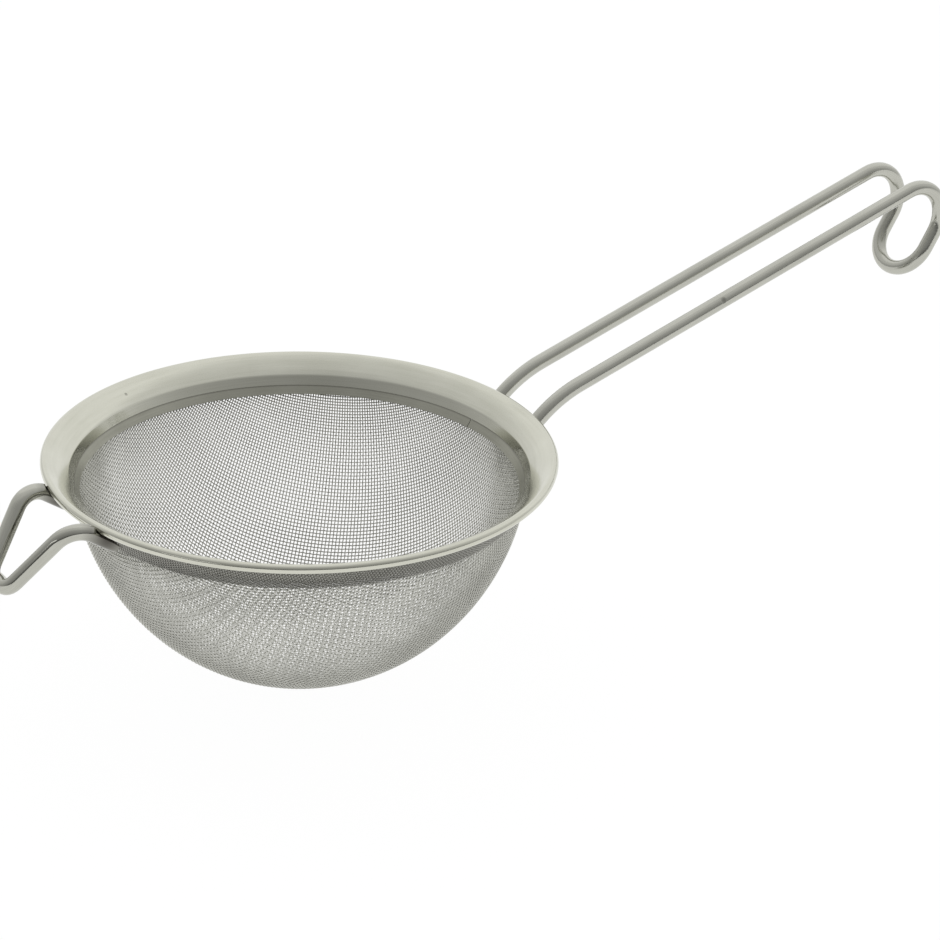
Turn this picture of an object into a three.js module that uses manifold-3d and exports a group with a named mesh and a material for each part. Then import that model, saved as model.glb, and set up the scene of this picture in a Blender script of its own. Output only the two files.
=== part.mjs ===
// A hand strainer: a wire-mesh bowl held in a sloping sheet rim, with a handle bent from one
// length of wire and a wire hook at the front that rests on the edge of a pot.
// Millimetres, +Z up. The origin is the rim's centre, level with its top, and the handle points along +X.

import * as THREE from 'three';
import { mergeVertices } from 'three/addons/utils/BufferGeometryUtils.js';
import Module from 'manifold-3d';

const wasm = await Module();
wasm.setup();

const degrees = THREE.MathUtils.degToRad;

// Clearance left between pieces that touch
const seatGap = 0.3;

// Sheet rim, a ring that slopes down to the bowl's mouth, with its outer edge rolled under
const rimRadius = 80;
const rollRadius = 1.4;
const flangeWidth = 9.3;
const flangeDrop = 8.7;
const sheetThickness = 0.7;

// Collar, a strip bent into a ring below the mouth, with its ends butted near the handle
const collarWidth = 2.7;
const collarSlope = degrees(54.5);
const collarThickness = 0.6;
const collarSeamAngle = degrees(7.6);
const collarSeamWidth = 0.3;

// Mesh bowl, half an ellipsoid of wire cloth. Each strand of its net stands for ten wires of the
// cloth, and is as wide as keeps the cloth's weight.
const bowlDepth = 74.9;
const clothThickness = 0.7;
const clothSqueeze = 0.04;
const clothLapHeight = 2;
const netPitch = 13;
const netAngle = degrees(-40);
const strandWidth = 1.4;

// Wire of the handle and the hook
const wireRadius = 2.5;

// Handle, two rails side by side that rise from the rim and curl down into a hanging loop
const railSpacing = 21.9;
const handleSeatLength = 10;
const handleRootSlope = degrees(43.5);
const handleRootLength = 10.2;
const handleRootRadius = 43;
const handleRise = degrees(17.8);
const railLength = 182.7;
const curlRadius = 11.6;
const curlLean = degrees(31);
const curlLength = 48;

// Front hook, two legs that rise out of the rim and meet lower down in a narrow tip. Where a leg
// is pressed flat under the rolled edge, this much of it is left above its middle.
const hookSpacing = 32;
const hookPressedHalf = 0.7;
const hookSeatLength = 9.3;
const hookTipSpacing = 12.6;
const hookLegSlope = degrees(34.9);
const hookKneeLength = 8;
const hookKneeRadius = 8;
const hookReach = 17.3;
const hookDrop = 20.9;
const hookTipRadius = 5;

// Fineness of the facets
const ringSegments = 72;
const rollSegments = 10;
const wireHalfSides = 6;
const wireStep = 3.2;
const samplesPerStep = 10;

// The rim in section: its upper face runs straight from the mouth and meets the roll smoothly
const mouth = new THREE.Vector2(rimRadius - flangeWidth, -flangeDrop);
const rollCentre = new THREE.Vector2(rimRadius - rollRadius, -rollRadius);
const mouthToRoll = rollCentre.clone().sub(mouth);
const sheetLength = Math.sqrt(mouthToRoll.lengthSq() - rollRadius ** 2);
const flangeSlope = mouthToRoll.angle() + Math.asin(rollRadius / mouthToRoll.length());
const alongSheet = new THREE.Vector2(Math.cos(flangeSlope), Math.sin(flangeSlope));
const acrossSheet = new THREE.Vector2(-Math.sin(flangeSlope), Math.cos(flangeSlope));

// The collar goes on below the sheet's lip. The cloth's edge lies flat behind the collar and the
// sheet, and ends at the roll.
const clothHalf = clothThickness / 2;
const behindSheet = -(sheetThickness + seatGap + clothHalf);
const collarTop = onSheet(mouth, -seatGap, 0);
const collarFoot = stepFrom(collarTop, collarSlope, -collarWidth);
const hemFold = onSheet(collarFoot, 0, behindSheet);
const hemBend = onSheet(collarTop, 0, behindSheet);
const hemTop = onSheet(mouth, sheetLength - rollRadius - 2 * seatGap, behindSheet);

// Below the collar the cloth is half an ellipsoid, which the flat edge laps over
const bowlHeight = bowlDepth - clothHalf;
const bowlRadius = hemFold.x / Math.sqrt(1 - (hemFold.y / bowlHeight) ** 2);
const bowlScale = new THREE.Vector3(bowlRadius, bowlRadius, bowlHeight);
const lapBottom = hemFold.y - clothLapHeight;
const netTop = hemFold.y - clothLapHeight / 2;

// A point in the ring's section, given along and across the sloping sheet
function onSheet(from, along, across) {
  return from.clone().addScaledVector(alongSheet, along).addScaledVector(acrossSheet, across);
}

function stepFrom(point, angle, length) {
  return new THREE.Vector2(point.x + length * Math.cos(angle), point.y + length * Math.sin(angle));
}

// Part of a circle round the roll's middle, from below the sheet to a turn from the sheet's slope
function rollArc(radius, below, lastTurn) {
  const firstTurn = -Math.PI - Math.asin((rollRadius - below) / radius);
  const points = [];
  for (let i = 0; i <= rollSegments; i += 1) {
    const turn = firstTurn + ((lastTurn - firstTurn) * i) / rollSegments;
    points.push(onSheet(rollCentre, radius * Math.cos(turn), radius * Math.sin(turn)));
  }
  return points;
}

// Radius of the cloth's middle at a height below the rim
function clothRadiusAt(height) {
  return bowlRadius * Math.sqrt(1 - (height / bowlHeight) ** 2);
}

// A ring round Z from a section drawn anticlockwise as (radius, height)
function ring(section) {
  const closed = [...section, section[0].clone()];
  return new THREE.LatheGeometry(closed, ringSegments).rotateX(Math.PI / 2);
}

function toSolid(geometry) {
  const plain = geometry.clone();
  plain.deleteAttribute('normal');
  plain.deleteAttribute('uv');
  const merged = mergeVertices(plain);
  const vertProperties = new Float32Array(merged.attributes.position.array);
  const triVerts = new Uint32Array(merged.index.array);
  return new wasm.Manifold(new wasm.Mesh({ numProp: 3, vertProperties, triVerts }));
}

function toGeometry(solid) {
  const mesh = solid.getMesh();
  const geometry = new THREE.BufferGeometry();
  geometry.setAttribute('position', new THREE.BufferAttribute(mesh.vertProperties, 3));
  geometry.setIndex(new THREE.BufferAttribute(mesh.triVerts, 1));
  geometry.computeVertexNormals();
  return geometry;
}

// Rim: the sheet's underside, round the rolled edge, and back along its upper side
function makeRim() {
  const lip = onSheet(mouth, 0, -sheetThickness);
  return ring([lip, ...rollArc(rollRadius, sheetThickness, Math.PI / 2), mouth]);
}

// Collar: a slit is left where its ends meet
function makeCollar() {
  const outerFoot = onSheet(collarFoot, 0, -collarThickness);
  const outerTop = onSheet(collarTop, 0, -collarThickness);
  const strip = ring([outerFoot, outerTop, collarTop, collarFoot]);
  const inner = collarFoot.x - seatGap;
  const outer = outerTop.x + seatGap;
  const height = collarTop.y - outerFoot.y + 2 * seatGap;
  const slit = new THREE.BoxGeometry(outer - inner, collarSeamWidth, height);
  slit.translate((inner + outer) / 2, 0, (collarTop.y + outerFoot.y) / 2);
  slit.rotateZ(collarSeamAngle);
  return toGeometry(toSolid(strip).subtract(toSolid(slit)));
}

// A knot of the cloth's square net, counted in pitches from the cloth's middle. The flat cloth is
// drawn over the bowl alike all round, and is squeezed together towards its edge.
function knotAt(i, j) {
  const flatArc = (Math.hypot(i, j) * netPitch) / bowlRadius;
  const arc = flatArc - clothSqueeze * flatArc ** 3;
  const around = Math.atan2(j, i) + netAngle;
  const reach = Math.sin(arc);
  const knot = new THREE.Vector3(reach * Math.cos(around), reach * Math.sin(around), -Math.cos(arc));
  return knot.multiply(bowlScale);
}

// The net as one open lattice: a small block at each knot and a flat strand to each neighbour
function makeNet() {
  const inside = (i, j) => knotAt(i, j).z < netTop;
  const sides = [[1, 0], [0, 1], [-1, 0], [0, -1]];
  const joined = (i, j, side) => inside(i, j) || inside(i + sides[side][0], j + sides[side][1]);
  const positions = [];
  const firstVertex = new Map();
  let count = 1;
  while (inside(count, 0)) count += 1;

  for (let i = -count; i <= count; i += 1) {
    for (let j = -count; j <= count; j += 1) {
      if (!sides.some((_, side) => joined(i, j, side))) continue;
      const centre = knotAt(i, j);
      const outward = centre.clone().divide(bowlScale).divide(bowlScale).normalize();
      const towards = sides.map(([di, dj]) => {
        return knotAt(i + di, j + dj).sub(centre).projectOnPlane(outward).normalize();
      });
      firstVertex.set(`${i},${j}`, positions.length / 3);
      for (const across of [clothHalf, -clothHalf]) {
        for (let side = 0; side < 4; side += 1) {
          const one = towards[side];
          const next = towards[(side + 1) % 4];
          const spread = strandWidth / 2 / one.clone().cross(next).length();
          const corner = centre.clone().addScaledVector(one.clone().add(next), spread);
          corner.addScaledVector(outward, across);
          positions.push(corner.x, corner.y, corner.z);
        }
      }
    }
  }

  const triangles = [];
  const quad = (a, b, c, d) => triangles.push(a, b, c, a, c, d);
  for (const [name, first] of firstVertex) {
    const [i, j] = name.split(',').map(Number);
    const outer = (start, side) => start + ((side + 4) % 4);
    const inner = (start, side) => start + 4 + ((side + 4) % 4);
    quad(first, first + 3, first + 2, first + 1);
    quad(first + 4, first + 5, first + 6, first + 7);
    for (let side = 0; side < 4; side += 1) {
      if (!joined(i, j, side)) {
        quad(outer(first, side - 1), outer(first, side), inner(first, side), inner(first, side - 1));
      } else if (side < 2) {
        const [di, dj] = sides[side];
        const other = firstVertex.get(`${i + di},${j + dj}`);
        quad(outer(first, side - 1), outer(first, side), outer(other, side + 1), outer(other, side + 2));
        quad(inner(first, side), inner(first, side - 1), inner(other, side + 2), inner(other, side + 1));
        quad(outer(first, side), inner(first, side), inner(other, side + 1), outer(other, side + 1));
        quad(inner(first, side - 1), outer(first, side - 1), outer(other, side + 2), inner(other, side + 2));
      }
    }
  }
  const geometry = new THREE.BufferGeometry();
  geometry.setAttribute('position', new THREE.Float32BufferAttribute(positions, 3));
  geometry.setIndex(triangles);
  return geometry;
}

// Bowl: the net below the collar, joined to the cloth's edge where it is pressed flat
function makeBowl() {
  const lap = new THREE.Vector2(clothRadiusAt(lapBottom), lapBottom);
  const outward = new THREE.Vector2(clothHalf, 0);
  const hem = ring([
    ...[lap, hemFold, hemBend, hemTop].map((point) => point.clone().add(outward)),
    ...[hemTop, hemBend, hemFold, lap].map((point) => point.clone().sub(outward)),
  ]);
  const net = toSolid(makeNet()).trimByPlane([0, 0, -1], -netTop);
  return toGeometry(net.add(toSolid(hem)));
}

// A circular bend, from a point turned about a centre
class BendCurve extends THREE.Curve {
  constructor(centre, start, axis, angle) {
    super();
    this.centre = centre;
    this.spoke = start.clone().sub(centre);
    this.axis = axis;
    this.angle = angle;
  }

  getPoint(t, target = new THREE.Vector3()) {
    return target.copy(this.spoke).applyAxisAngle(this.axis, this.angle * t).add(this.centre);
  }
}

// The middle line of a bent wire: straight between its corners, each rounded to its radius
function bentLine(corners, radii) {
  const path = new THREE.CurvePath();
  let from = corners[0];
  radii.forEach((radius, index) => {
    const corner = corners[index + 1];
    const back = corners[index].clone().sub(corner).normalize();
    const ahead = corners[index + 2].clone().sub(corner).normalize();
    const half = back.angleTo(ahead) / 2;
    const start = corner.clone().addScaledVector(back, radius / Math.tan(half));
    const middle = back.clone().add(ahead).normalize();
    const centre = corner.clone().addScaledVector(middle, radius / Math.sin(half));
    const axis = back.clone().cross(start.clone().sub(centre)).normalize();
    const bend = new BendCurve(centre, start, axis, Math.PI - 2 * half);
    if (from.distanceTo(start) > seatGap) path.add(new THREE.LineCurve3(from, start));
    path.add(bend);
    from = bend.getPoint(1);
  });
  path.add(new THREE.LineCurve3(from, corners.at(-1)));
  return path;
}

// A round wire along a bent line
function makeWire(path) {
  const section = new THREE.Shape().absarc(0, 0, wireRadius, 0, 2 * Math.PI);
  const steps = Math.ceil(path.getLength() / wireStep);
  path.arcLengthDivisions = samplesPerStep * steps;
  return new THREE.ExtrudeGeometry(section, { steps, extrudePath: path, curveSegments: wireHalfSides });
}

// Where a wire's middle passes under the rolled edge, at a distance to the side, as (reach, height)
function seatUnderRim(aside, slope, halfWire) {
  const roll = new THREE.Vector2(Math.sqrt(rollCentre.x ** 2 - aside ** 2), rollCentre.y);
  return stepFrom(roll, slope - Math.PI / 2, rollRadius + seatGap + halfWire);
}

// Handle: both rails and the loop between them are one wire, drawn from one end to the other
function makeHandle() {
  const aside = railSpacing / 2;
  const seat = seatUnderRim(aside, handleRootSlope, wireRadius);
  const end = stepFrom(seat, handleRootSlope, -handleSeatLength);
  const root = stepFrom(seat, handleRootSlope, handleRootLength);
  const curl = stepFrom(root, handleRise, railLength);
  const foot = stepFrom(curl, -Math.PI / 2 - curlLean, curlLength);
  const left = [end, root, curl, foot].map((point) => new THREE.Vector3(point.x, aside, point.y));
  const right = [foot, curl, root, end].map((point) => new THREE.Vector3(point.x, -aside, point.y));
  const radii = [handleRootRadius, curlRadius, aside, aside, curlRadius, handleRootRadius];
  return makeWire(bentLine([...left, ...right], radii));
}

// Space that the rim and the cloth under it take up, with the clearance below them
function rimSpace() {
  const below = sheetThickness + seatGap + clothThickness + seatGap;
  const inner = onSheet(mouth, -flangeWidth, -below);
  const arc = rollArc(rollRadius + seatGap, below, -flangeSlope);
  const top = flangeDrop;
  return ring([inner, ...arc, new THREE.Vector2(arc.at(-1).x, top), new THREE.Vector2(inner.x, top)]);
}

// Front hook: its legs are flattened where they lie under the rim
function makeHook() {
  const aside = hookSpacing / 2;
  const tipAside = hookTipSpacing / 2;
  const seat = seatUnderRim(aside, hookLegSlope, hookPressedHalf);
  const end = stepFrom(seat, hookLegSlope, -hookSeatLength);
  const knee = stepFrom(seat, hookLegSlope, hookKneeLength);
  const tip = new THREE.Vector2(knee.x + hookReach, knee.y - hookDrop);
  const corners = [
    new THREE.Vector3(-end.x, aside, end.y),
    new THREE.Vector3(-knee.x, aside, knee.y),
    new THREE.Vector3(-tip.x, tipAside, tip.y),
    new THREE.Vector3(-tip.x, -tipAside, tip.y),
    new THREE.Vector3(-knee.x, -aside, knee.y),
    new THREE.Vector3(-end.x, -aside, end.y),
  ];
  const radii = [hookKneeRadius, hookTipRadius, hookTipRadius, hookKneeRadius];
  const wire = toSolid(makeWire(bentLine(corners, radii)));
  return toGeometry(wire.subtract(toSolid(rimSpace())));
}

function steel(color, roughness) {
  return new THREE.MeshStandardMaterial({ color, roughness, metalness: 1 });
}

const group = new THREE.Group();

function addPiece(name, geometry, material) {
  const mesh = new THREE.Mesh(geometry, material);
  mesh.name = name;
  group.add(mesh);
}

addPiece('rim_flange', makeRim(), steel(0xcdccc2, 0.2));
addPiece('clamp_collar', makeCollar(), steel(0xa9a99e, 0.3));
addPiece('mesh_bowl', makeBowl(), steel(0xb9b9b4, 0.35));
addPiece('handle_wire', makeHandle(), steel(0xb4b4a9, 0.22));
addPiece('rest_hook', makeHook(), steel(0xb4b4a9, 0.22));

export default group;
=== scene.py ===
"""The looks of a wire-mesh hand strainer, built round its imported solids."""

import math

import bpy
import numpy as np
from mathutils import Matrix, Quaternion, Vector


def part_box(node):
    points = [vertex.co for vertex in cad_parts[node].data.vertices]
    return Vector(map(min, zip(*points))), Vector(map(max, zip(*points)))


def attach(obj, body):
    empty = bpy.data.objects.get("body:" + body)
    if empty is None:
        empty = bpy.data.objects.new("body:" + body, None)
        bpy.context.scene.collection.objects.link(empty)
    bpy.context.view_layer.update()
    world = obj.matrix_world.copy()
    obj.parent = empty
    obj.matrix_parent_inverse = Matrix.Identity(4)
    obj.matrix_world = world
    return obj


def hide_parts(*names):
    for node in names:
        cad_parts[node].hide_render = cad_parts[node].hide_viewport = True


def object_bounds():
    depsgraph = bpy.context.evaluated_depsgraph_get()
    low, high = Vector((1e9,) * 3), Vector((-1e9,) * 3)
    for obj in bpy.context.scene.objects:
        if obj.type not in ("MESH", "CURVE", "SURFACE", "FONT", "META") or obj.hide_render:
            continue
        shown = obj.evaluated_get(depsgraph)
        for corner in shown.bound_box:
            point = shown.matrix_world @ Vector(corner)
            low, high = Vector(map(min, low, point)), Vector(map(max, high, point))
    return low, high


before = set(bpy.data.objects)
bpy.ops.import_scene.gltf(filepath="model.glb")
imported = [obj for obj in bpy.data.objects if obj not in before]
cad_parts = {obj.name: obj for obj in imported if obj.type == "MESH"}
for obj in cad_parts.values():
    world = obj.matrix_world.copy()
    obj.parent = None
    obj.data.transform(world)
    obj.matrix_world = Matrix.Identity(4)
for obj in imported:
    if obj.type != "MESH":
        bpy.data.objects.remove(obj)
cad_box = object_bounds()

MM = 0.001

# Sheet rim, in millimetres as in the solids
ROLL_RADIUS = 1.4
FLANGE_WIDTH = 9.3
FLANGE_DROP = 8.7
SHEET_THICKNESS = 0.7
SEAT_GAP = 0.3

# The sheet as it is drawn here: its lip lies further in than the solid's mouth and above it, and a
# short neck bends into an arch
LIP_INSET = 0.8
LIP_RISE = 0.37
NECK_LENGTH = 3.3
NECK_SLOPE = math.radians(66.0)
NECK_BEND_RADIUS = 2.0
SHEET_OUTER_SLOPE = math.radians(28.0)

# Collar strip, tucked behind the lip
COLLAR_WIDTH = 2.7
COLLAR_SLOPE = math.radians(54.5)
COLLAR_THICKNESS = 0.6
COLLAR_SEAM_ANGLE = math.radians(7.6)
COLLAR_SEAM_WIDTH = 0.3
COLLAR_TUCK = 0.4
COLLAR_SET_BACK = 0.2

# Wire cloth, drawn over the bowl and squeezed towards its edge. Flat, it reaches this many of the
# bowl's radii from its middle.
CLOTH_THICKNESS = 0.7
CLOTH_PITCH = 1.3
CLOTH_SQUEEZE = 0.04
CLOTH_REACH = 1.9
CLOTH_WIRE_RADIUS = 0.19
CLOTH_ANGLE = math.radians(-40.0)

# Wire of the handle and the hook. Its radius falls to a share of itself at its rounded ends.
WIRE_RADIUS = 2.5
WIRE_END_ROUND = 1.6
WIRE_END_SHARE = 0.5
RAIL_SPACING = 21.9
HANDLE_SEAT_LENGTH = 10.0
HANDLE_ROOT_SLOPE = math.radians(43.5)
HANDLE_ROOT_LENGTH = 10.2
HANDLE_ROOT_RADIUS = 43.0
HANDLE_RISE = math.radians(17.8)
RAIL_LENGTH = 182.7
CURL_RADIUS = 11.6
CURL_LEAN = math.radians(31.0)
CURL_LENGTH = 48.0
HOOK_SPACING = 32.0
HOOK_PRESSED_HALF = 0.7
HOOK_SEAT_LENGTH = 9.3
HOOK_TIP_SPACING = 12.6
HOOK_LEG_SLOPE = math.radians(34.9)
HOOK_KNEE_LENGTH = 8.0
HOOK_KNEE_RADIUS = 8.0
HOOK_REACH = 17.3
HOOK_DROP = 20.9
HOOK_TIP_RADIUS = 5.0

# Small marks: a pit in the rim, a dent in the near rail, and painted shade: on the hook's legs where they
# pass under the rim, on the collar's top under the lip, and on the cloth's flat edge under the sheet
PIT_ANGLE = math.radians(109.97)
PIT_ALONG_SHEET = 6.9
PIT_ABOVE_SHEET = 0.8
PIT_SIZE = 0.8
PIT_DARKNESS = 0.7
PIT_DEPTH = 0.2
DENT_ALONG = 68.7
DENT_TURN = math.radians(54.5)
DENT_SIZE = 1.2
DENT_DARKNESS = 0.45
DENT_DEPTH = 0.1
# Painted shade on the hook's legs under the rim, darkest a little above their middle
HOOK_SHADE_SIZE = 9.5
HOOK_SHADE_RISE = 2.2
HOOK_SHADE_DARKNESS = 1.0
COLLAR_JOINT_FADE = 0.5
COLLAR_JOINT_DARKNESS = 0.7
CLOTH_HEM_FADE = 1.0
CLOTH_HEM_DARKNESS = 0.55
NO_DEPTH = 0.0
SPOT_CORE_SHARE = 0.3
# The dark colour of the marks, also used for the painted shade
MARK_AND_SHADE_COLOUR = (0.09, 0.085, 0.075)

# Steel finishes: the colours between which the tone varies, the least and the greatest roughness, and
# the depths of the lines and of the waves in millimetres
SHEET_FINISH = {
    "pale": (0.64, 0.64, 0.56),
    "dull": (0.57, 0.57, 0.49),
    "roughness": (0.09, 0.17),
    "line_depth": 0.004,
    "wave_depth": 0.012,
}
STRIP_FINISH = {
    "pale": (0.42, 0.42, 0.36),
    "dull": (0.33, 0.33, 0.28),
    "roughness": (0.34, 0.44),
    "line_depth": 0.004,
    "wave_depth": 0.01,
}
CLOTH_FINISH = {
    "pale": (0.61, 0.61, 0.565),
    "dull": (0.49, 0.49, 0.45),
    "roughness": (0.20, 0.32),
    "line_depth": 0.004,
    "wave_depth": 0.0,
}
HANDLE_FINISH = {
    "pale": (0.54, 0.54, 0.485),
    "dull": (0.46, 0.46, 0.41),
    "roughness": (0.15, 0.26),
    "line_depth": 0.006,
    "wave_depth": 0.01,
}
HOOK_FINISH = {
    "pale": (0.53, 0.53, 0.475),
    "dull": (0.43, 0.43, 0.38),
    "roughness": (0.06, 0.12),
    "line_depth": 0.002,
    "wave_depth": 0.006,
}

# Grain of the steel: scales and details of its noises, and the tones that take the end values
WAVE_SCALE = 90.0
WAVE_DETAIL = 1.0
TARNISH_SCALE = 60.0
TARNISH_DETAIL = 5.0
LINE_DETAIL = 4.0
RING_LINES_AROUND = 3.0
RING_LINES_ALONG = 70.0
WIRE_LINES_AROUND = 12.0
WIRE_LINES_ALONG = 16.0
CLOTH_GRAIN_SCALE = 900.0
CLOTH_GRAIN_DETAIL = 2.0
COLOUR_TONES = (0.35, 0.65)
SHINE_TONES = (0.3, 0.7)

# Fineness of the meshes, and the name of their map
RING_SEGMENTS = 360
FLANGE_SEGMENTS = 8
ROLL_SEGMENTS = 40
WIRE_SIDES = 32
WIRE_STEP = 1.0
LEAST_BEND_STEPS = 4
LEAST_STRAIGHT = 0.3
CLOTH_WIRE_SIDES = 6
SHARP_ANGLE = math.radians(40.0)
MAP_NAME = "OFBake"

# Camera, fitted to the rim's two edges in the photograph
PHOTO_SIZE = 940
RIM_CENTRE_PIXEL = (300.69, 449.78)
FOCAL_PIXELS = 2739.3
CAMERA_DISTANCE = 850.0
CAMERA_AZIMUTH = math.radians(-119.81)
CAMERA_ELEVATION = math.radians(24.655)
CAMERA_ROLL = math.radians(0.146)
SENSOR_WIDTH = 36.0

# Floor and lamp, in metres and watts
FLOOR_REACH = 12.0
FLOOR_GAP = 0.0003
FLOOR_COLOUR = (0.9, 0.9, 0.9, 1.0)
FLOOR_GLOW_SHARE = 0.92
FLOOR_GLOW = 1.04
LAMP_AZIMUTH = math.radians(-165.0)
LAMP_ELEVATION = math.radians(15.0)
LAMP_DISTANCE = 0.9
LAMP_WIDTH = 0.4
LAMP_HEIGHT = 0.05
LAMP_POWER = 0.09

# Studio: places and levels along an axis that runs towards the camera, and leans down and to its left
STUDIO_LEAN_LEFT = 0.2
STUDIO_LEAN_DOWN = 0.8
STUDIO_LEVELS = [
    (-1.4, 1.0),
    (-1.02, 1.0),
    (-0.88, 0.82),
    (-0.68, 0.75),
    (-0.5, 0.72),
    (-0.2, 0.54),
    (0.1, 0.45),
    (0.6, 0.34),
    (0.9, 0.18),
    (1.5, 0.1),
]

# The studio is darker still low down in front, between these heights and shares of facing the camera
LOW_DARKNESS = 0.7
LOW_HEIGHTS = (0.02, 0.2)
FRONT_SHARES = (0.1, 0.5)

# Sizes read from the solids
rim_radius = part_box("rim_flange")[1].x / MM
cloth_half = CLOTH_THICKNESS / 2
bowl_height = -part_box("mesh_bowl")[0].z / MM - cloth_half

# The solid rim in section: its sheet runs straight from the mouth and meets the roll smoothly
mouth = Vector((rim_radius - FLANGE_WIDTH, -FLANGE_DROP))
roll_centre = Vector((rim_radius - ROLL_RADIUS, -ROLL_RADIUS))
mouth_to_roll = roll_centre - mouth
flange_slope = math.atan2(mouth_to_roll.y, mouth_to_roll.x) + math.asin(ROLL_RADIUS / mouth_to_roll.length)
sheet_length = math.sqrt(mouth_to_roll.length ** 2 - ROLL_RADIUS ** 2)
along_sheet = Vector((math.cos(flange_slope), math.sin(flange_slope)))
across_sheet = Vector((-math.sin(flange_slope), math.cos(flange_slope)))


def on_sheet(start, along, across):
    """A point in the rim's section, given along and across the solid's sloping sheet."""
    return start + along_sheet * along + across_sheet * across


def step_from(point, angle, length):
    return Vector((point.x + length * math.cos(angle), point.y + length * math.sin(angle)))


# The collar goes on below the sheet's lip. The cloth's edge lies flat behind the collar and the
# sheet, and ends at the roll.
behind_sheet = -(SHEET_THICKNESS + SEAT_GAP + cloth_half)
collar_top = on_sheet(mouth, -SEAT_GAP, 0)
collar_foot = step_from(collar_top, COLLAR_SLOPE, -COLLAR_WIDTH)
lip = mouth + Vector((-LIP_INSET, LIP_RISE))
hem_fold = on_sheet(collar_foot, 0, behind_sheet)
hem_top = on_sheet(mouth, sheet_length - ROLL_RADIUS - 2 * SEAT_GAP, behind_sheet)
bowl_radius = hem_fold.x / math.sqrt(1 - (hem_fold.y / bowl_height) ** 2)


# Meshes

def grid_corners(rows, columns, close_rows, close_columns):
    """Rows and columns of each face's four corners, on a grid of points stored row by row."""
    row, column = np.mgrid[0:rows if close_rows else rows - 1, 0:columns if close_columns else columns - 1]
    corner_rows = np.stack((row, row, row + 1, row + 1), axis=-1).reshape(-1, 4)
    corner_columns = np.stack((column, column + 1, column + 1, column), axis=-1).reshape(-1, 4)
    return corner_rows, corner_columns


def grid_faces(rows, columns, close_rows, close_columns):
    """Faces between neighbouring points of a grid, and their corners' places on a unit square."""
    corner_rows, corner_columns = grid_corners(rows, columns, close_rows, close_columns)
    faces = corner_rows % rows * columns + corner_columns % columns
    places = np.stack((corner_rows / corner_rows.max(), corner_columns / corner_columns.max()), axis=-1)
    return faces, places


def capped_faces(rows, columns):
    """Faces of a closed tube, with its two ends filled."""
    faces, places = grid_faces(rows, columns, False, True)
    ends = [list(reversed(range(columns))), list(range((rows - 1) * columns, rows * columns))]
    end_places = np.repeat([[0.0, 0.0], [1.0, 0.0]], columns, axis=0)
    return faces.tolist() + ends, np.concatenate((places.reshape(-1, 2), end_places))


def new_piece(name, points, faces, places, material, node):
    """A smooth mesh piece from points in millimetres, which rides on the part and stands for a solid."""
    mesh = bpy.data.meshes.new(name)
    mesh.from_pydata(np.asarray(points) * MM, [], faces)
    mesh.uv_layers.new(name=MAP_NAME).data.foreach_set("uv", np.asarray(places, float).ravel())
    mesh.shade_smooth()
    mesh.set_sharp_from_angle(angle=SHARP_ANGLE)
    mesh.materials.append(material)
    piece = bpy.data.objects.new(name, mesh)
    bpy.context.scene.collection.objects.link(piece)
    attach(piece, "root")
    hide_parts(node)


# Materials

def add_node(tree, kind, inputs=None, **settings):
    """A shader node. Each input takes a value, or the output that it is linked from."""
    made = tree.nodes.new(kind)
    for name, value in settings.items():
        setattr(made, name, value)
    for key, value in (inputs or {}).items():
        if isinstance(value, bpy.types.NodeSocket):
            tree.links.new(value, made.inputs[key])
        else:
            made.inputs[key].default_value = value
    return made


def calculate(tree, operation, first, second=0.0):
    return add_node(tree, "ShaderNodeMath", {0: first, 1: second}, operation=operation).outputs[0]


def project(tree, way, axis):
    """How far a direction reaches along an axis."""
    inputs = {0: way, 1: axis}
    return add_node(tree, "ShaderNodeVectorMath", inputs, operation="DOT_PRODUCT").outputs["Value"]


def spread(tree, value, low, high, to_low, to_high):
    """A value stretched from one range to another, and held inside it."""
    inputs = {"Value": value, "From Min": low, "From Max": high, "To Min": to_low, "To Max": to_high}
    return add_node(tree, "ShaderNodeMapRange", inputs).outputs[0]


def noise(tree, place, scale, detail):
    inputs = {"Vector": place, "Scale": scale, "Detail": detail}
    return add_node(tree, "ShaderNodeTexNoise", inputs).outputs["Fac"]


def blend(tree, share, first, second):
    """A colour between two, by a share."""
    mix = add_node(tree, "ShaderNodeMix", {0: share}, data_type="RGBA")
    for socket, colour in ((mix.inputs[6], first), (mix.inputs[7], second)):
        if isinstance(colour, bpy.types.NodeSocket):
            tree.links.new(colour, socket)
        else:
            socket.default_value = (*colour, 1.0)
    return mix.outputs[2]


def object_place(tree):
    return add_node(tree, "ShaderNodeTexCoord").outputs["Object"]


def streaks(tree, closes_on, around_scale, along_scale):
    """Fine lines that run round a ring or along a wire, by the axis of its map that closes on itself."""
    mapped = add_node(tree, "ShaderNodeUVMap", uv_map=MAP_NAME).outputs[0]
    axes = add_node(tree, "ShaderNodeSeparateXYZ", {0: mapped}).outputs
    closed, open_ended = (axes[0], axes[1]) if closes_on == "u" else (axes[1], axes[0])
    turn = calculate(tree, "MULTIPLY", closed, 2 * math.pi)
    place = add_node(tree, "ShaderNodeCombineXYZ", {
        0: calculate(tree, "MULTIPLY", calculate(tree, "COSINE", turn), around_scale),
        1: calculate(tree, "MULTIPLY", calculate(tree, "SINE", turn), around_scale),
        2: calculate(tree, "MULTIPLY", open_ended, along_scale),
    })
    return noise(tree, place.outputs[0], 1.0, LINE_DETAIL)


def spot(point, size):
    """A mark round a point given in millimetres, falling to nothing at its edge."""
    def place_mark(tree):
        inputs = {0: object_place(tree), 1: Vector(point) * MM}
        away = add_node(tree, "ShaderNodeVectorMath", inputs, operation="DISTANCE").outputs["Value"]
        return spread(tree, away, SPOT_CORE_SHARE * size * MM, size * MM, 1.0, 0.0)
    return place_mark


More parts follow.
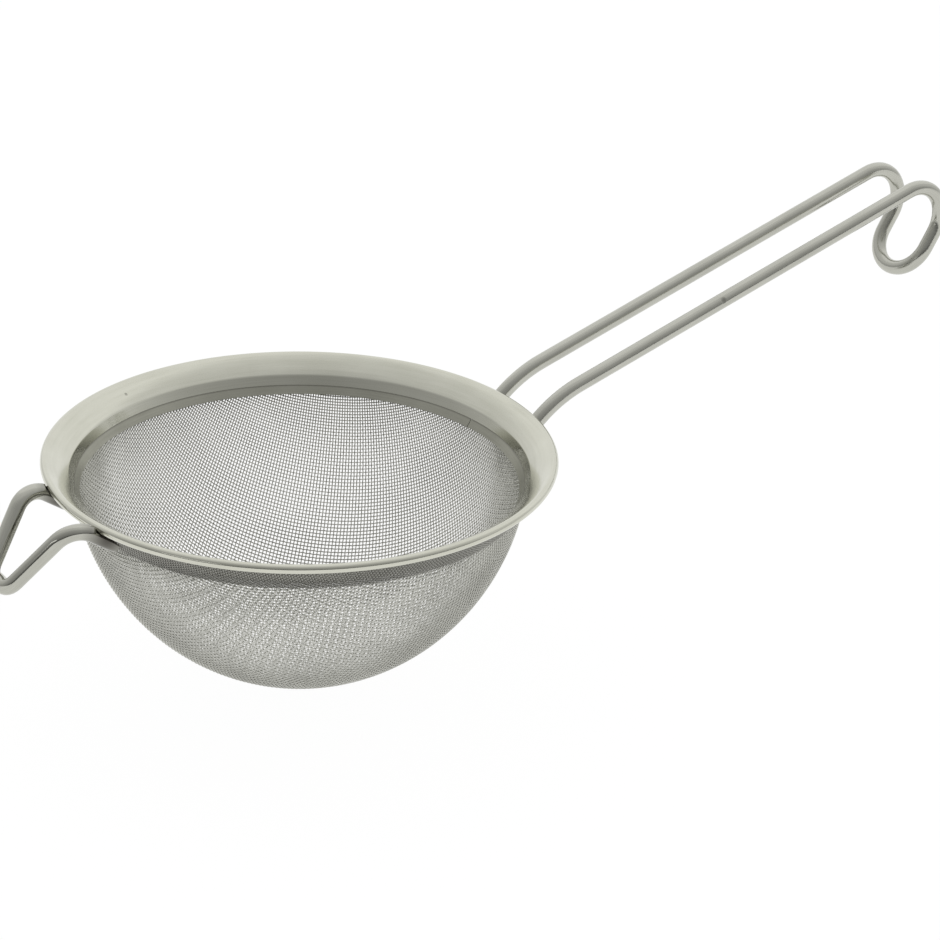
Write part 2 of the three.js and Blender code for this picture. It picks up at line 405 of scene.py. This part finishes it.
def above(height, fade):
    """A mark on all that lies above a height, falling to nothing below it."""
    def place_mark(tree):
        level = add_node(tree, "ShaderNodeSeparateXYZ", {0: object_place(tree)}).outputs[2]
        return spread(tree, level, (height - fade) * MM, height * MM, 0.0, 1.0)
    return place_mark


def bump(tree, height, depth, before=None):
    """A bump of a depth in millimetres, laid over another."""
    inputs = {"Height": height, "Strength": 1.0, "Distance": depth * MM}
    if before is not None:
        inputs["Normal"] = before
    return add_node(tree, "ShaderNodeBump", inputs).outputs[0]


def new_steel(name, lines, finish, marks):
    """Bright steel: lines left by its making, a slightly wavy face, uneven shine and a faint tarnish.

    A mark is a share of the face given by a function, how dark it is, and how deep; some marks are painted
    shade."""
    material = bpy.data.materials.new(name)
    material.use_nodes = True
    tree = material.node_tree
    shader = tree.nodes["Principled BSDF"]
    shader.inputs["Metallic"].default_value = 1.0
    smoothest, roughest = finish["roughness"]
    place = object_place(tree)
    line = lines(tree)
    wave = noise(tree, place, WAVE_SCALE, WAVE_DETAIL)
    tarnish = noise(tree, place, TARNISH_SCALE, TARNISH_DETAIL)
    tone = calculate(tree, "MULTIPLY", calculate(tree, "ADD", line, tarnish), 0.5)
    colour = blend(tree, spread(tree, tone, *COLOUR_TONES, 0.0, 1.0), finish["dull"], finish["pale"])
    shine = spread(tree, tone, *SHINE_TONES, roughest, smoothest)
    normal = bump(tree, wave, finish["wave_depth"])
    normal = bump(tree, line, finish["line_depth"], normal)
    for place_mark, darkness, depth in marks:
        mark = place_mark(tree)
        colour = blend(tree, calculate(tree, "MULTIPLY", mark, darkness), colour, MARK_AND_SHADE_COLOUR)
        normal = bump(tree, mark, -depth, normal)
    tree.links.new(colour, shader.inputs["Base Color"])
    tree.links.new(shine, shader.inputs["Roughness"])
    tree.links.new(normal, shader.inputs["Normal"])
    return material


def ring_lines(tree):
    return streaks(tree, "u", RING_LINES_AROUND, RING_LINES_ALONG)


def wire_lines(tree):
    return streaks(tree, "v", WIRE_LINES_AROUND, WIRE_LINES_ALONG)


def cloth_grain(tree):
    return noise(tree, object_place(tree), CLOTH_GRAIN_SCALE, CLOTH_GRAIN_DETAIL)


# Sheet rim

def arch_slope(start, end):
    """The slope at the start of an arc that ends with the sheet's outer slope."""
    chord = end - start
    return 2 * math.atan2(chord.y, chord.x) - SHEET_OUTER_SLOPE


def arc(start, from_slope, to_slope, radius):
    """Points and slopes along an arc from a point, turning to a lesser slope, without its end."""
    centre = step_from(start, from_slope - math.pi / 2, radius)
    slopes = [from_slope + (to_slope - from_slope) * i / FLANGE_SEGMENTS for i in range(FLANGE_SEGMENTS)]
    return [(step_from(centre, slope + math.pi / 2, radius), slope) for slope in slopes]


def rim_section():
    """The rim's section as (radius, height): a steep neck, bent into an arched sheet, and a rolled edge."""
    sheet_end = step_from(roll_centre, SHEET_OUTER_SLOPE + math.pi / 2, ROLL_RADIUS)
    bend = step_from(lip, NECK_SLOPE, NECK_LENGTH)
    bend_slope = arch_slope(bend, sheet_end)
    bend_reach = NECK_BEND_RADIUS * math.tan((NECK_SLOPE - bend_slope) / 2)
    neck_end = step_from(bend, NECK_SLOPE, -bend_reach)
    sheet_start = step_from(bend, bend_slope, bend_reach)
    inner_slope = arch_slope(sheet_start, sheet_end)
    arch_radius = (sheet_end - sheet_start).length / 2 / math.sin((inner_slope - SHEET_OUTER_SLOPE) / 2)
    face = [(lip.lerp(neck_end, i / FLANGE_SEGMENTS), NECK_SLOPE) for i in range(FLANGE_SEGMENTS)]
    face.extend(arc(neck_end, NECK_SLOPE, inner_slope, NECK_BEND_RADIUS))
    face.extend(arc(sheet_start, inner_slope, SHEET_OUTER_SLOPE, arch_radius))
    section = [step_from(point, slope - math.pi / 2, SHEET_THICKNESS) for point, slope in face]
    first_turn = SHEET_OUTER_SLOPE - math.pi - math.asin(1 - SHEET_THICKNESS / ROLL_RADIUS)
    last_turn = SHEET_OUTER_SLOPE + math.pi / 2
    for i in range(ROLL_SEGMENTS + 1):
        turn = first_turn + (last_turn - first_turn) * i / ROLL_SEGMENTS
        section.append(step_from(roll_centre, turn, ROLL_RADIUS))
    section.extend(point for point, slope in reversed(face))
    return section


def turned(section, angles):
    """Points of a section, given as (radius, height), at each angle about the middle."""
    return [
        (point.x * math.cos(angle), point.x * math.sin(angle), point.y)
        for angle in angles
        for point in section
    ]


def make_rim():
    pit = turned([on_sheet(mouth, PIT_ALONG_SHEET, PIT_ABOVE_SHEET)], [PIT_ANGLE])[0]
    marks = [(spot(pit, PIT_SIZE), PIT_DARKNESS, PIT_DEPTH)]
    material = new_steel("polished_sheet", ring_lines, SHEET_FINISH, marks)
    section = rim_section()
    angles = [2 * math.pi * i / RING_SEGMENTS for i in range(RING_SEGMENTS)]
    faces, places = grid_faces(RING_SEGMENTS, len(section), True, True)
    new_piece("rim", turned(section, angles), faces.tolist(), places, material, "rim_flange")


# Collar

def make_collar():
    # Painted shade: the collar's top darkens just under the sheet's lip, where the joint lies in shade
    marks = [(above(lip.y, COLLAR_JOINT_FADE), COLLAR_JOINT_DARKNESS, NO_DEPTH)]
    material = new_steel("rolled_strip", ring_lines, STRIP_FINISH, marks)
    top = step_from(lip, NECK_SLOPE, COLLAR_TUCK) + Vector((COLLAR_SET_BACK, 0))
    foot = collar_foot + lip - mouth
    section = [
        on_sheet(foot, 0, -COLLAR_THICKNESS),
        top + Vector((COLLAR_SET_BACK, 0)),
        top,
        foot,
    ]
    half_slit = COLLAR_SEAM_WIDTH / collar_top.x / 2
    start = COLLAR_SEAM_ANGLE + half_slit
    turn = 2 * math.pi - 2 * half_slit
    angles = [start + turn * i / RING_SEGMENTS for i in range(RING_SEGMENTS + 1)]
    faces, places = capped_faces(len(angles), len(section))
    new_piece("collar", turned(section, angles), faces, places, material, "clamp_collar")


# Wire cloth

def ring_point(radius, around, height):
    return np.stack((radius * np.cos(around), radius * np.sin(around), height), axis=-1)


def woven_net():
    """Crossings of the cloth's wires in millimetres, the outward way at each, and which wire is on top.

    A flat square weave is drawn over the bowl alike all round, and squeezed towards the edge, which
    lies flat behind the collar."""
    count = math.ceil(CLOTH_REACH * bowl_radius / CLOTH_PITCH)
    first, second = np.mgrid[-count:count + 1, -count:count + 1]
    flat_arc = np.hypot(first, second) * CLOTH_PITCH / bowl_radius
    bowl_arc = flat_arc - CLOTH_SQUEEZE * flat_arc ** 3
    around = np.arctan2(second, first) + CLOTH_ANGLE
    unit = ring_point(np.sin(bowl_arc), around, -np.cos(bowl_arc))
    scale = np.array([bowl_radius, bowl_radius, bowl_height])
    outward = unit / scale
    outward /= np.linalg.norm(outward, axis=2, keepdims=True)
    climb = (bowl_arc - math.acos(-hem_fold.y / bowl_height)) * bowl_height
    hem_way = (hem_top - hem_fold).normalized()
    flat = ring_point(hem_fold.x + climb * hem_way.x, around, hem_fold.y + climb * hem_way.y)
    flat_outward = ring_point(hem_way.y, around, np.full_like(around, -hem_way.x))
    in_hem = climb[..., None] > 0
    over = (first + second) % 2 * 2 - 1
    return np.where(in_hem, flat, unit * scale), np.where(in_hem, flat_outward, outward), over


def cut_wire(points, outward):
    """The stretch of a wire below the cloth's edge, with its ends cut at the edge."""
    inside = np.flatnonzero(points[:, 2] < hem_top.y)
    if len(inside) < 2:
        return None
    first, last = inside[0], inside[-1]
    kept = points[first - 1:last + 2].copy()
    ways = outward[first - 1:last + 2]
    for end, neighbour in ((0, 1), (-1, -2)):
        share = (hem_top.y - kept[neighbour, 2]) / (kept[end, 2] - kept[neighbour, 2])
        kept[end] = kept[neighbour] + share * (kept[end] - kept[neighbour])
    return kept, ways


def headings(points):
    """The way ahead at each point of a line."""
    ahead = np.gradient(points, axis=0)
    return ahead / np.linalg.norm(ahead, axis=1, keepdims=True)


def tube(points, outward, radius, sides):
    """Rings of points round a wire, of one radius or of one for each point, stored ring by ring."""
    ahead = headings(points)
    aside = np.cross(outward, ahead)
    aside /= np.linalg.norm(aside, axis=1, keepdims=True)
    up = np.cross(ahead, aside)
    turn = 2 * np.pi * np.arange(sides) / sides
    ring = np.cos(turn)[None, :, None] * up[:, None] + np.sin(turn)[None, :, None] * aside[:, None]
    radii = np.broadcast_to(radius, len(points))
    return (points[:, None] + radii[:, None, None] * ring).reshape(-1, 3)


def make_cloth_half(name, wires, material):
    """One piece of the cloth from some of its wires, each mapped on a strip of its own."""
    points, faces, places = [], [], []
    count = 0
    for number, (line, outward) in enumerate(wires):
        wire_faces, wire_places = grid_faces(len(line), CLOTH_WIRE_SIDES, False, True)
        wire_places[..., 1] = (number + wire_places[..., 1]) / len(wires)
        points.append(tube(line, outward, CLOTH_WIRE_RADIUS, CLOTH_WIRE_SIDES))
        faces.append(wire_faces + count)
        places.append(wire_places)
        count += len(points[-1])
    points, faces, places = (np.concatenate(part) for part in (points, faces, places))
    new_piece(name, points, faces.tolist(), places, material, "mesh_bowl")


def make_cloth():
    """The cloth's warp and weft, each in two pieces."""
    # Painted shade: the cloth's flat edge under the sheet is darkened, as in the rim's shadow
    shade = above(hem_fold.y + CLOTH_HEM_FADE / 2, CLOTH_HEM_FADE)
    marks = [(shade, CLOTH_HEM_DARKNESS, NO_DEPTH)]
    material = new_steel("cloth_wire", cloth_grain, CLOTH_FINISH, marks)
    knots, outward, over = woven_net()
    lift = CLOTH_WIRE_RADIUS * over[:, :, None] * outward
    families = {
        "warp": zip(knots + lift, outward),
        "weft": zip((knots - lift).swapaxes(0, 1), outward.swapaxes(0, 1)),
    }
    for family, wires in families.items():
        cut = [wire for wire in (cut_wire(*whole) for whole in wires) if wire is not None]
        middle = len(cut) // 2
        make_cloth_half(f"cloth_{family}_left", cut[:middle], material)
        make_cloth_half(f"cloth_{family}_right", cut[middle:], material)


# Bent wires

def bent_line(corners, radii):
    """Points along a wire's middle: straight between its corners, each rounded to its radius."""
    corners = [Vector(corner) for corner in corners]
    line = [corners[0]]

    def straight_to(target):
        start = line[-1].copy()
        steps = max(1, round((target - start).length / WIRE_STEP))
        line.extend(start.lerp(target, i / steps) for i in range(1, steps + 1))

    for index, radius in enumerate(radii):
        corner = corners[index + 1]
        back = (corners[index] - corner).normalized()
        ahead = (corners[index + 2] - corner).normalized()
        half = back.angle(ahead) / 2
        start = corner + back * (radius / math.tan(half))
        centre = corner + (back + ahead).normalized() * (radius / math.sin(half))
        spoke = start - centre
        axis = back.cross(spoke).normalized()
        turn = math.pi - 2 * half
        if (start - line[-1]).length > LEAST_STRAIGHT:
            straight_to(start)
        steps = max(LEAST_BEND_STEPS, round(radius * turn / WIRE_STEP))
        for i in range(1, steps + 1):
            arm = spoke.copy()
            arm.rotate(Quaternion(axis, turn * i / steps))
            line.append(centre + arm)
    straight_to(corners[-1])
    return np.array(line)


def carried_ways(line):
    """A direction across the wire at each of its points, sideways at first and carried without twisting."""
    way = np.array([0.0, 1.0, 0.0])
    ways = []
    for heading in headings(line):
        way = way - way.dot(heading) * heading
        way /= np.linalg.norm(way)
        ways.append(way)
    return np.array(ways)


def end_radii(line):
    """The wire's radius at each point of its middle, less towards its rounded ends."""
    along = np.concatenate(([0.0], np.cumsum(np.linalg.norm(np.diff(line, axis=0), axis=1))))
    from_end = np.minimum(along, along[-1] - along)
    left = np.clip(1 - from_end / WIRE_END_ROUND, 0, 1)
    return WIRE_RADIUS * (WIRE_END_SHARE + (1 - WIRE_END_SHARE) * np.sqrt(1 - left ** 2))


def round_wire(line):
    """Points, faces and map places of a round wire along a line."""
    points = tube(line, carried_ways(line), end_radii(line), WIRE_SIDES)
    return points, *capped_faces(len(line), WIRE_SIDES)


def seat_under_rim(aside, slope, half_wire):
    """Where a wire's middle passes under the rolled edge, at a distance to the side."""
    roll = Vector((math.sqrt(roll_centre.x ** 2 - aside ** 2), roll_centre.y))
    return step_from(roll, slope - math.pi / 2, ROLL_RADIUS + SEAT_GAP + half_wire)


def make_handle():
    aside = RAIL_SPACING / 2
    seat = seat_under_rim(aside, HANDLE_ROOT_SLOPE, WIRE_RADIUS)
    end = step_from(seat, HANDLE_ROOT_SLOPE, -HANDLE_SEAT_LENGTH)
    root = step_from(seat, HANDLE_ROOT_SLOPE, HANDLE_ROOT_LENGTH)
    curl = step_from(root, HANDLE_RISE, RAIL_LENGTH)
    foot = step_from(curl, -math.pi / 2 - CURL_LEAN, CURL_LENGTH)
    far_side = [(point.x, aside, point.y) for point in (end, root, curl, foot)]
    near_side = [(point.x, -aside, point.y) for point in (foot, curl, root, end)]
    radii = [HANDLE_ROOT_RADIUS, CURL_RADIUS, aside, aside, CURL_RADIUS, HANDLE_ROOT_RADIUS]
    points, faces, places = round_wire(bent_line(far_side + near_side, radii))
    dent_middle = step_from(root, HANDLE_RISE, DENT_ALONG)
    rail_top = step_from(dent_middle, HANDLE_RISE + math.pi / 2, WIRE_RADIUS * math.cos(DENT_TURN))
    dent = (rail_top.x, -aside - WIRE_RADIUS * math.sin(DENT_TURN), rail_top.y)
    marks = [(spot(dent, DENT_SIZE), DENT_DARKNESS, DENT_DEPTH)]
    material = new_steel("drawn_wire", wire_lines, HANDLE_FINISH, marks)
    new_piece("handle", points, faces, places, material, "handle_wire")


def flatten_under_rim(points):
    """Presses a wire's points down to the clearance below the solid's sloping sheet and its rolled edge."""
    reach = np.hypot(points[:, 0], points[:, 1])
    below = on_sheet(mouth, 0, -(SHEET_THICKNESS + SEAT_GAP))
    under_sheet = below.y + (reach - below.x) * math.tan(flange_slope)
    clear = ROLL_RADIUS + SEAT_GAP
    aside = np.abs(reach - roll_centre.x)
    under_roll = roll_centre.y - np.sqrt(np.maximum(clear ** 2 - aside ** 2, 0))
    ceiling = np.where(aside < clear, np.minimum(under_sheet, under_roll), under_sheet)
    covered = reach < rim_radius + SEAT_GAP
    points[covered, 2] = np.minimum(points[covered, 2], ceiling[covered])


def make_hook():
    aside = HOOK_SPACING / 2
    tip_aside = HOOK_TIP_SPACING / 2
    seat = seat_under_rim(aside, HOOK_LEG_SLOPE, HOOK_PRESSED_HALF)
    end = step_from(seat, HOOK_LEG_SLOPE, -HOOK_SEAT_LENGTH)
    knee = step_from(seat, HOOK_LEG_SLOPE, HOOK_KNEE_LENGTH)
    tip = Vector((knee.x + HOOK_REACH, knee.y - HOOK_DROP))
    corners = [
        (-end.x, aside, end.y),
        (-knee.x, aside, knee.y),
        (-tip.x, tip_aside, tip.y),
        (-tip.x, -tip_aside, tip.y),
        (-knee.x, -aside, knee.y),
        (-end.x, -aside, end.y),
    ]
    radii = [HOOK_KNEE_RADIUS, HOOK_TIP_RADIUS, HOOK_TIP_RADIUS, HOOK_KNEE_RADIUS]
    points, faces, places = round_wire(bent_line(corners, radii))
    flatten_under_rim(points)
    # Painted shade: the legs' ends darken where they pass under the rim, more on their top, as in the rim's
    # shadow
    shade_middle = step_from(seat, HOOK_LEG_SLOPE, -HOOK_SEAT_LENGTH / 2)
    shaded_spots = [(-shade_middle.x, side * aside, shade_middle.y + HOOK_SHADE_RISE) for side in (-1, 1)]
    marks = [(spot(point, HOOK_SHADE_SIZE), HOOK_SHADE_DARKNESS, NO_DEPTH) for point in shaded_spots]
    material = new_steel("polished_wire", wire_lines, HOOK_FINISH, marks)
    new_piece("hook", points, faces, places, material, "rest_hook")


# Stage, light and camera

def direction(azimuth, elevation):
    level = math.cos(elevation)
    return Vector((level * math.cos(azimuth), level * math.sin(azimuth), math.sin(elevation)))


def make_stage():
    """A white floor that keeps a faint shadow."""
    height = cad_box[0][2] - FLOOR_GAP
    corners = [(x * FLOOR_REACH, y * FLOOR_REACH, height) for x, y in ((-1, -1), (1, -1), (1, 1), (-1, 1))]
    mesh = bpy.data.meshes.new("floor")
    mesh.from_pydata(corners, [], [(0, 1, 2, 3)])
    floor = bpy.data.objects.new("floor", mesh)
    bpy.context.scene.collection.objects.link(floor)
    material = bpy.data.materials.new("white_floor")
    material.use_nodes = True
    tree = material.node_tree
    tree.nodes.clear()
    matt = add_node(tree, "ShaderNodeBsdfDiffuse", {"Color": FLOOR_COLOUR})
    path = add_node(tree, "ShaderNodeLightPath").outputs
    glow = add_node(tree, "ShaderNodeEmission", {"Strength": FLOOR_GLOW})
    seen = calculate(tree, "MAXIMUM", path["Is Camera Ray"], path["Is Glossy Ray"])
    seen = calculate(tree, "MAXIMUM", seen, path["Is Transmission Ray"])
    share = calculate(tree, "MULTIPLY", seen, FLOOR_GLOW_SHARE)
    mix = add_node(tree, "ShaderNodeMixShader", {0: share, 1: matt.outputs[0], 2: glow.outputs[0]})
    add_node(tree, "ShaderNodeOutputMaterial", {"Surface": mix.outputs[0]})
    mesh.materials.append(material)


def make_lamp():
    """A soft rectangular lamp at the left, which faces the part's middle."""
    data = bpy.data.lights.new("left_lamp", "AREA")
    data.shape = "RECTANGLE"
    data.size = LAMP_WIDTH
    data.size_y = LAMP_HEIGHT
    data.energy = LAMP_POWER
    lamp = bpy.data.objects.new("left_lamp", data)
    bpy.context.scene.collection.objects.link(lamp)
    way = direction(LAMP_AZIMUTH, LAMP_ELEVATION)
    lamp.location = way * LAMP_DISTANCE
    lamp.rotation_mode = "QUATERNION"
    lamp.rotation_quaternion = way.to_track_quat("Z", "Y")


def make_world():
    """A white studio: bright behind the part, and dimmer towards the camera, most of all low down."""
    world = bpy.data.worlds.new("studio")
    bpy.context.scene.world = world
    world.use_nodes = True
    tree = world.node_tree
    background = tree.nodes["Background"]
    way = add_node(tree, "ShaderNodeTexCoord").outputs["Generated"]
    front = direction(CAMERA_AZIMUTH, 0.0)
    right = direction(CAMERA_AZIMUTH + math.pi / 2, 0.0)
    axis = front - STUDIO_LEAN_LEFT * right - Vector((0, 0, STUDIO_LEAN_DOWN))
    start = STUDIO_LEVELS[0][0]
    end = STUDIO_LEVELS[-1][0]
    share = spread(tree, project(tree, way, axis), start, end, 0.0, 1.0)
    ramp = add_node(tree, "ShaderNodeValToRGB", {0: share})
    elements = ramp.color_ramp.elements
    while len(elements) < len(STUDIO_LEVELS):
        elements.new(0.5)
    for element, (place, level) in zip(elements, STUDIO_LEVELS):
        element.position = (place - start) / (end - start)
        element.color = (level, level, level, 1.0)
    height = add_node(tree, "ShaderNodeSeparateXYZ", {0: way}).outputs[2]
    low = spread(tree, height, *LOW_HEIGHTS, LOW_DARKNESS, 0.0)
    in_front = spread(tree, project(tree, way, front), *FRONT_SHARES, 0.0, 1.0)
    dark = calculate(tree, "MULTIPLY", low, in_front)
    tree.links.new(ramp.outputs["Color"], background.inputs["Color"])
    tree.links.new(calculate(tree, "SUBTRACT", 1.0, dark), background.inputs["Strength"])


def make_camera():
    """The photograph's camera, turned so that the rim's centre falls on its pixel."""
    data = bpy.data.cameras.new("camera")
    data.sensor_width = SENSOR_WIDTH
    data.lens = FOCAL_PIXELS / PHOTO_SIZE * SENSOR_WIDTH
    camera = bpy.data.objects.new("camera", data)
    bpy.context.scene.collection.objects.link(camera)
    towards = direction(CAMERA_AZIMUTH, CAMERA_ELEVATION)
    camera.location = towards * CAMERA_DISTANCE * MM
    aimed = (-towards).to_track_quat("-Z", "Y")
    straight = Vector((0, 0, -1))
    middle = PHOTO_SIZE / 2
    ray = Vector((
        (RIM_CENTRE_PIXEL[0] - middle) / FOCAL_PIXELS,
        -(RIM_CENTRE_PIXEL[1] - middle) / FOCAL_PIXELS,
        -1.0,
    ))
    swing = straight.rotation_difference(ray)
    roll = Quaternion((0, 0, 1), CAMERA_ROLL)
    camera.rotation_mode = "QUATERNION"
    camera.rotation_quaternion = aimed @ swing.inverted() @ roll
    bpy.context.scene.camera = camera


make_camera()
make_rim()
make_collar()
make_cloth()
make_handle()
make_hook()
make_stage()
make_lamp()
make_world()

bpy.context.scene.view_settings.view_transform = "Standard"
